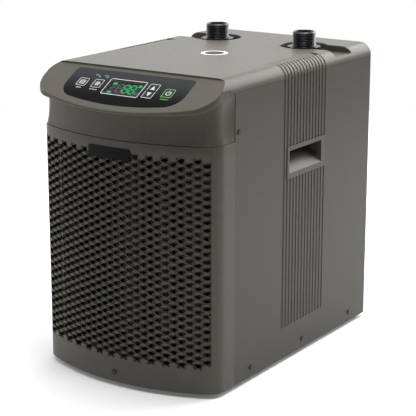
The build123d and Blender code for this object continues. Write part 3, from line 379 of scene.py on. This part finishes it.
def endCells():
    # half cells that fill the ends of the shifted columns, at the face and at the back
    x = columnX[1::2, None]
    shapes = []
    for low in (levels[0], levels[-2]):
        patchX = x + np.array([-stepX, stepX, stepX, -stepX])
        patchZ = low + np.array([0, 0, stepZ, stepZ]) + 0 * x
        for inset, order in ((0, [0, 1, 2, 3]), (grille["wall"], [3, 2, 1, 0])):
            quads = np.array(order) + 4 * np.arange(len(x))[:, None]
            shapes.append((curved(patchX, patchZ, inset), [quads]))
    return shapes


def makeGrille():
    cells, cellFaces = holeCells()
    shapes = [(cells, cellFaces), *endCells()]
    point, normal = planWhole()
    side = (len(point) - grille["columns"] - 1) // 2
    inField = np.abs(point[:, 0]) <= fieldHalf + weldStep

    def ringAt(inset, z, pick=slice(None)):
        # a ring stands back along the normals, but along the depth above and below the field, so
        # that it meets the cells
        x, along = point[pick, 0], inField[pick] & (inset <= grille["wall"])
        plan = np.where(along[:, None], np.stack([x, planFront(x, inset)[0]], -1),
                        point[pick] - inset * normal[pick])
        return np.column_stack([plan, np.full(len(plan), z)])

    def skirt(profile, pick=slice(None)):
        rings = np.array([ringAt(inset, z, pick) for inset, z in profile])
        shapes.append((rings, [gridFaces(*rings.shape[:2])]))

    # profiles of (inset, height): the lower edge, the upper edge with its ledge, the two walls
    edge, bend, wall, ledge = (grille[key] for key in ("edge", "bend", "wall", "ledge"))
    top, low = grille["top"], grille["low"]
    lower = [(wall, low), (edge, low), (bend, low + bend), (0, low + edge)]
    upper = [(0, top - edge), (bend, top - bend), (edge, top), (ledge, top), (ledge, top - wall),
             (wall, top - wall)]
    outside, inside = [(0, z) for z in levels], [(wall, z) for z in levels[::-1]]
    skirt([inside[-1], *lower, outside[0]])
    skirt([outside[-1], *upper, inside[0]])
    for pick in (slice(0, side + 1), slice(len(point) - side - 1, len(point))):
        skirt(outside, pick)
        skirt(inside, pick)
    # end faces at the seam
    loop = [lower[-1], *outside, *upper, *inside, *lower[:-1]]
    for station, order in ((0, 1), (len(point) - 1, -1)):
        ends = np.array([ringAt(inset, z, slice(station, station + 1))[0] for inset, z in loop])
        shapes.append((ends, [np.arange(len(loop))[::order][None]]))

    # shared corners become one point
    every, faces = joinBlocks(shapes)
    keys = np.round(every / weldStep).astype(np.int64)
    _, first, back = np.unique(keys, axis=0, return_index=True, return_inverse=True)
    back = back.reshape(-1)
    print("grille:", len(cells), "holes,", len(first), "points")
    return makeMesh("grilleShell", every[first], [back[f] for f in faces],
                    sharpAngle=grille["sharpAngle"])


dress(makeGrille(), "cabinet", "cabinet_plastic", materials["warmGreyPlastic"], "front_grille")


# threaded water stubs

stub = {
    "x": 72.5 * mm, "y": 138.6 * mm, "low": 365 * mm, "top": 428 * mm, "flangeLow": 391 * mm,
    "flangeTop": 395 * mm, "flangeRadius": 24 * mm, "crest": 16.62 * mm, "depth": 1.25 * mm,
    "pitch": 2.31 * mm, "threadLow": 396 * mm, "bore": 12.5 * mm, "barb": 13.5 * mm,
    "barbBore": 10.5 * mm, "lip": 1.2 * mm, "mouthChamfer": 0.6 * mm, "endChamfer": 0.7 * mm,
    "endHeight": 0.72 * mm, "sides": 72, "stepsPerPitch": 8, "flankGain": 2.4, "flankOffset": 0.1,
    "sharpAngle": 40,
}


def makeStub(name, side):
    # rings of (radius, height) turned round the stub's axis; the thread's radius also goes with the
    # angle: crest - depth * wave(height / pitch - angle / full turn), with a flat crest and root
    s = stub
    angle = np.linspace(0, 2 * np.pi, s["sides"], endpoint=False)
    z = np.arange(s["threadLow"], s["top"] - s["lip"], s["pitch"] / s["stepsPerPitch"])
    phase = (z[:, None] / s["pitch"] - angle / (2 * np.pi)) % 1.0
    wave = np.clip(np.abs(phase - 0.5) * s["flankGain"] - s["flankOffset"], 0, 1)
    root = s["crest"] - s["depth"]
    below = [(s["barbBore"], s["low"]), (s["barb"], s["low"]), (s["barb"], s["flangeLow"]),
             (s["flangeRadius"], s["flangeLow"]), (s["flangeRadius"], s["flangeTop"]),
             (root, s["flangeTop"])]
    above = [(root, s["top"] - s["endHeight"]), (root - s["endChamfer"], s["top"]),
             (s["bore"] + s["mouthChamfer"], s["top"]), (s["bore"], s["top"] - s["mouthChamfer"]),
             (s["bore"], s["flangeLow"]), (s["barbBore"], s["flangeLow"]),
             (s["barbBore"], s["low"])]
    belowR, belowZ = np.array(below).T
    aboveR, aboveZ = np.array(above).T
    radius = np.vstack([belowR[:, None] + 0 * angle, s["crest"] - s["depth"] * wave,
                        aboveR[:, None] + 0 * angle])
    height = np.concatenate([belowZ, z, aboveZ])
    verts = np.stack([side * s["x"] + radius * np.cos(angle), s["y"] + radius * np.sin(angle),
                      np.broadcast_to(height[:, None], radius.shape)], -1).reshape(-1, 3)
    return makeMesh(name, verts, [gridFaces(*radius.shape, True)], sharpAngle=s["sharpAngle"])


stubs = {"outletStub": (1, "outlet_fitting"), "inletStub": (-1, "inlet_fitting")}
for name, (side, fitting) in stubs.items():
    dress(makeStub(name, side), "cabinet", "fitting_plastic", materials["threadPlastic"], fitting)
print("water stubs done")


# print on the control face

face = {"originY": -149.5 * mm, "originZ": 405.6 * mm, "slope": np.radians(30.0)}
# the rest of this section is in mm: first the print's height above the face, on keys and on film
onKey, onFilm = 0.36, 0.06
barShape = {"round": 0.2, "steps": 3}
frameShape = {"keyRadius": 2.0, "leastRadius": 0.1}


def facePoints(x, row, lift):
    # points across, down and above the sloping face
    x, row, lift = np.broadcast_arrays(*(np.asarray(v, float) * mm for v in (x, row, lift)))
    down, out = np.cos(face["slope"]), np.sin(face["slope"])
    return np.stack([x, face["originY"] - row * down - lift * out,
                     face["originZ"] - row * out + lift * down], -1)


def roundedLoop(width, height, radius, steps=6):
    # a rectangle with quarter-circle corners, counter-clockwise; y points up the slope
    quarter = np.linspace(0, np.pi / 2, steps)
    parts = []
    for i, (sx, sy) in enumerate([(1, 1), (-1, 1), (-1, -1), (1, -1)]):
        angle = quarter + i * np.pi / 2
        parts.append(np.stack([sx * (width / 2 - radius) + radius * np.cos(angle),
                               sy * (height / 2 - radius) + radius * np.sin(angle)], -1))
    return np.vstack(parts)


def inkShape(line, x, row, lift, inner=None, closed=True):
    # a flat shape, or a band between two lines with as many points
    if inner is None:
        points, faces = line, np.arange(len(line))[None]
    else:
        points, faces = np.vstack([line, inner]), gridFaces(2, len(line), closed)
    return facePoints(x + points[:, 0], row - points[:, 1], lift), [faces]


def frameInk(x, row, width, height, radius, line, lift):
    inner = roundedLoop(width - 2 * line, height - 2 * line,
                        max(radius - line, frameShape["leastRadius"]))
    return inkShape(roundedLoop(width, height, radius), x, row, lift, inner)


def barInk(x, row, width, height, lift, angle=0.0):
    loop = roundedLoop(width, height, min(width, height) * barShape["round"], barShape["steps"])
    c, s = np.cos(np.radians(angle)), np.sin(np.radians(angle))
    return inkShape(loop @ np.array([[c, s], [-s, c]]), x, row, lift)


def arcInk(x, row, radius, line, start, stop, lift, steps=24):
    angle = np.radians(np.linspace(start, stop, steps))
    ring = np.stack([np.cos(angle), np.sin(angle)], -1)
    return inkShape(ring * (radius + line / 2), x, row, lift, ring * (radius - line / 2), False)


keyPlan = {
    # centre across, row, width, height
    "set": (-68.7, 32.8, 16.0, 16.0), "boost": (-44.6, 32.8, 15.5, 17.0),
    "up": (40.3, 27.3, 16.5, 13.4), "down": (40.3, 41.9, 16.5, 13.4),
    "power": (67.0, 34.9, 16.0, 17.0),
}
arrow = {"width": 6.6, "tip": 3.63, "shift": 1.0, "frameShift": 0.6, "inset": 0.9, "line": 0.7,
         "sideShort": 1.6}
star = {"size": 8.5, "line": 0.9, "reach": 0.36, "tipTurn": 30, "tip": (1.8, 0.8)}


def keyFrame(key, line=0.7, inset=0.5):
    x, row, width, height = keyPlan[key]
    return frameInk(x, row, width - 2 * inset, height - 2 * inset, frameShape["keyRadius"], line,
                    onKey)


def keyBars(key, *bars):
    # each bar: across and down from the key's centre, width, height
    x, row = keyPlan[key][:2]
    return [barInk(x + across, row + down, *size, onKey) for across, down, *size in bars]


def starInk(key):
    # three bars through the key's centre, and six short ones round it
    x, row = keyPlan[key][:2]
    shapes = [barInk(x, row, star["size"], star["line"], onKey, angle) for angle in (0, 60, 120)]
    for turn in range(0, 360, 60):
        way, reach = np.radians(turn + star["tipTurn"]), star["reach"] * star["size"]
        shapes.append(barInk(x + reach * np.cos(way), row - reach * np.sin(way), *star["tip"],
                             onKey, turn + 120))
    return shapes


def arrowInk(key, up):
    # a triangle in three sides of a frame; up is 1 for the upper key and -1 for the lower one
    x, row, width, height = keyPlan[key]
    tip, base = up * arrow["tip"], arrow["width"] / 2
    triangle = np.array([[base, -tip], [0, tip], [-base, -tip]])[::up]
    across, down = width / 2 - arrow["inset"], height / 2 - arrow["inset"]
    upright = (up * arrow["frameShift"], arrow["line"], height - arrow["sideShort"])
    bars = [(-across, *upright), (across, *upright), (0, -up * down, 2 * across, arrow["line"])]
    return [inkShape(triangle, x, row + up * arrow["shift"], onKey), *keyBars(key, *bars)]


def wordInk(x, row, width, height, *places):
    # a word too small to read, as one bar for each letter
    return [barInk(x + place, row, width, height, onFilm) for place in places]


powerX, powerRow = keyPlan["power"][:2]
setBars = [(0, down, 8.0, 1.0) for down in (-3.2, -1.1, 1.1, 3.2)]
setBars += [(across, 0, 1.0, 7.6) for across in (-3.6, 3.6)]
greenInk = wordInk(67.0, 46.2, 2.6, 1.2, -4.8, -1.6, 1.6, 4.8)
filmInk = [
    frameInk(-1.5, 34.6, 57.4, 30.4, 2.6, 1.0, onFilm),
    *wordInk(-68.7, 43.6, 2.2, 1.2, -2.8, 0, 2.8),
    *wordInk(-44.6, 44.2, 2.4, 1.2, -4.8, -1.6, 1.6, 4.8),
    *wordInk(-57.2, 16.8, 1.6, 0.8, 0, 2.2, 4.4),
    *wordInk(-42.2, 16.4, 1.6, 0.8, 0, 2.2, 4.4),
]

# seven-bar digits and small status blocks behind the window
digit = {"width": 7.6, "height": 15.0, "bar": 1.9, "depth": -1.9, "row": 34.4}
digitPlan = [(-9.0, ""), (0.6, "abcdefg"), (10.6, "abcdefg")]
blockPlan = {
    # centre across, row, width, height
    "lit": [(-21.0, 26.4, 6.4, 4.6), (-21.0, 43.2, 6.4, 3.4), (18.8, 26.8, 5.0, 4.6)],
    "dull": [(-21.0, 32.2, 5.6, 1.2), (-21.0, 34.8, 5.6, 1.2), (-21.0, 37.4, 5.6, 1.2),
             (18.8, 41.0, 5.2, 5.6)],
}


def digitBars(x, lit):
    # bars a to g of one digit; lit names the ones that shine
    w, h, b = digit["width"], digit["height"], digit["bar"]
    places = {
        "a": (0, h / 2, w - b, b), "g": (0, 0, w - b, b), "d": (0, -h / 2, w - b, b),
        "b": (w / 2, h / 4, b, h / 2 - b), "c": (w / 2, -h / 4, b, h / 2 - b),
        "f": (-w / 2, h / 4, b, h / 2 - b), "e": (-w / 2, -h / 4, b, h / 2 - b),
    }
    shine, dull = [], []
    for key, (across, up, width, height) in places.items():
        shape = barInk(x + across, digit["row"] - up, width, height, digit["depth"])
        (shine if key in lit else dull).append(shape)
    return shine, dull


shine, dull = [], []
for x, lit in digitPlan:
    litBars, dullBars = digitBars(x, lit)
    shine += litBars
    dull += dullBars
shine += [barInk(*block, digit["depth"]) for block in blockPlan["lit"]]
dull += [barInk(*block, digit["depth"]) for block in blockPlan["dull"]]

inkPieces = {
    # shapes, body, material
    "setPrint": ([keyFrame("set"), *keyBars("set", *setBars)], "set_button", "printWhite"),
    "boostPrint": ([keyFrame("boost"), *starInk("boost")], "boost_button", "printWhite"),
    "upPrint": (arrowInk("up", 1), "up_button", "printWhite"),
    "downPrint": (arrowInk("down", -1), "down_button", "printWhite"),
    "powerPrint": ([arcInk(powerX, powerRow, 3.4, 1.1, 120, 420, onKey),
                    *keyBars("power", (0, -2.9, 1.1, 4.2))], "power_button", "printWhite"),
    "powerFrame": ([keyFrame("power", 0.9, 0.4)], "power_button", "printGreen"),
    "filmPrint": (filmInk, "cabinet", "printWhite"),
    "filmGreenPrint": (greenInk, "cabinet", "printGreen"),
    "litSegments": (shine, "cabinet", "greenSegment"),
    "dullSegments": (dull, "cabinet", "dimSegment"),
}
inkSlot = {"printWhite": "label_film", "printGreen": "lamp_plastic", "greenSegment": "lamp_plastic",
           "dimSegment": "black_plastic"}
for name, (shapes, body, ink) in inkPieces.items():
    dress(makeMesh(name, *joinBlocks(shapes), smooth=False), body, inkSlot[ink], materials[ink])
print("print on the control face done")


# round label on the cover

label = {"centre": (8 * mm, 10 * mm, 408.46 * mm), "radius": 13.5 * mm, "sides": 64}
dress(flatDisc("labelCentre", label["centre"], label["radius"], label["sides"]),
      "cabinet", "badge_plate", materials["labelDark"])


# stage, light and camera

stage = {
    "floorRadius": 1.7, "floorSides": 128, "floorColor": (0.9, 0.9, 0.9), "floorRough": 0.9,
    "floorGlow": 0.06, "frontLight": 0.12, "backLight": 1.6, "backWay": (-0.9, 0.45, 0.1),
    "fadeFrom": -0.3, "fadeTo": 0.8,
}
lights = {
    # location, target, size, power
    "topPanel": ((0.15, 0.0, 1.9), (0.05, 0.0, 0.3), (1.0, 1.0), 22.0),
    "lipPanel": ((0.58, -0.28, 1.86), (0.08, -0.2, 0.37), (0.4, 0.4), 9.0),
    "backPanel": ((0.7, 2.0, 1.3), (0.0, 0.0, 0.4), (2.2, 1.4), 66.0),
}
cameraPlace = {
    "location": (1.0896, -1.6091, 0.7170), "azimuth": np.radians(34.0),
    "elevation": np.radians(15.1), "lens": 125.74, "sensor": 36.0, "clipEnd": 50,
}

floor = flatDisc("floor", (0, 0, 0), stage["floorRadius"], stage["floorSides"])
paleFloor = newMaterial("paleFloor", stage["floorColor"], stage["floorRough"])
floor.data.materials.append(glow(paleFloor, (1, 1, 1), stage["floorGlow"]))

# the studio is bright behind the object and dimmer in front; the empty background is plain white
world = bpy.data.worlds.new("studio")
bpy.context.scene.world = world
world.use_nodes = True
tree = world.node_tree
background = tree.nodes["Background"]
background.inputs["Color"].default_value = (1, 1, 1, 1)
way = tree.nodes.new("ShaderNodeTexCoord")
towards = tree.nodes.new("ShaderNodeVectorMath")
towards.operation = "DOT_PRODUCT"
towards.inputs[1].default_value = Vector(stage["backWay"]).normalized()
fade = tree.nodes.new("ShaderNodeMapRange")
fade.inputs["From Min"].default_value = stage["fadeFrom"]
fade.inputs["From Max"].default_value = stage["fadeTo"]
fade.inputs["To Min"].default_value = stage["frontLight"]
fade.inputs["To Max"].default_value = stage["backLight"]
seen = tree.nodes.new("ShaderNodeLightPath")
choose = tree.nodes.new("ShaderNodeMix")
choose.inputs["B"].default_value = 1.0
tree.links.new(way.outputs["Generated"], towards.inputs[0])
tree.links.new(towards.outputs["Value"], fade.inputs["Value"])
tree.links.new(fade.outputs["Result"], choose.inputs["A"])
tree.links.new(seen.outputs["Is Camera Ray"], choose.inputs["Factor"])
tree.links.new(choose.outputs["Result"], background.inputs["Strength"])


def place(name, data, location, way):
    # a lamp or a camera at its location, looking along way
    thing = bpy.data.objects.new(name, data)
    thing.location = location
    thing.rotation_euler = Vector(way).to_track_quat("-Z", "Y").to_euler()
    bpy.context.scene.collection.objects.link(thing)
    return thing


for name, (location, target, size, power) in lights.items():
    lamp = bpy.data.lights.new(name, "AREA")
    lamp.shape = "RECTANGLE"
    lamp.size, lamp.size_y = size
    lamp.energy = power
    place(name, lamp, location, Vector(target) - Vector(location))

lens = bpy.data.cameras.new("camera")
lens.lens = cameraPlace["lens"]
lens.sensor_width = cameraPlace["sensor"]
lens.sensor_fit = "HORIZONTAL"
lens.clip_end = cameraPlace["clipEnd"]
az, el = cameraPlace["azimuth"], cameraPlace["elevation"]
look = (-np.sin(az) * np.cos(el), np.cos(az) * np.cos(el), -np.sin(el))
bpy.context.scene.camera = place("camera", lens, cameraPlace["location"], look)
bpy.context.scene.view_settings.view_transform = "Standard"
print("stage, lights and camera done")
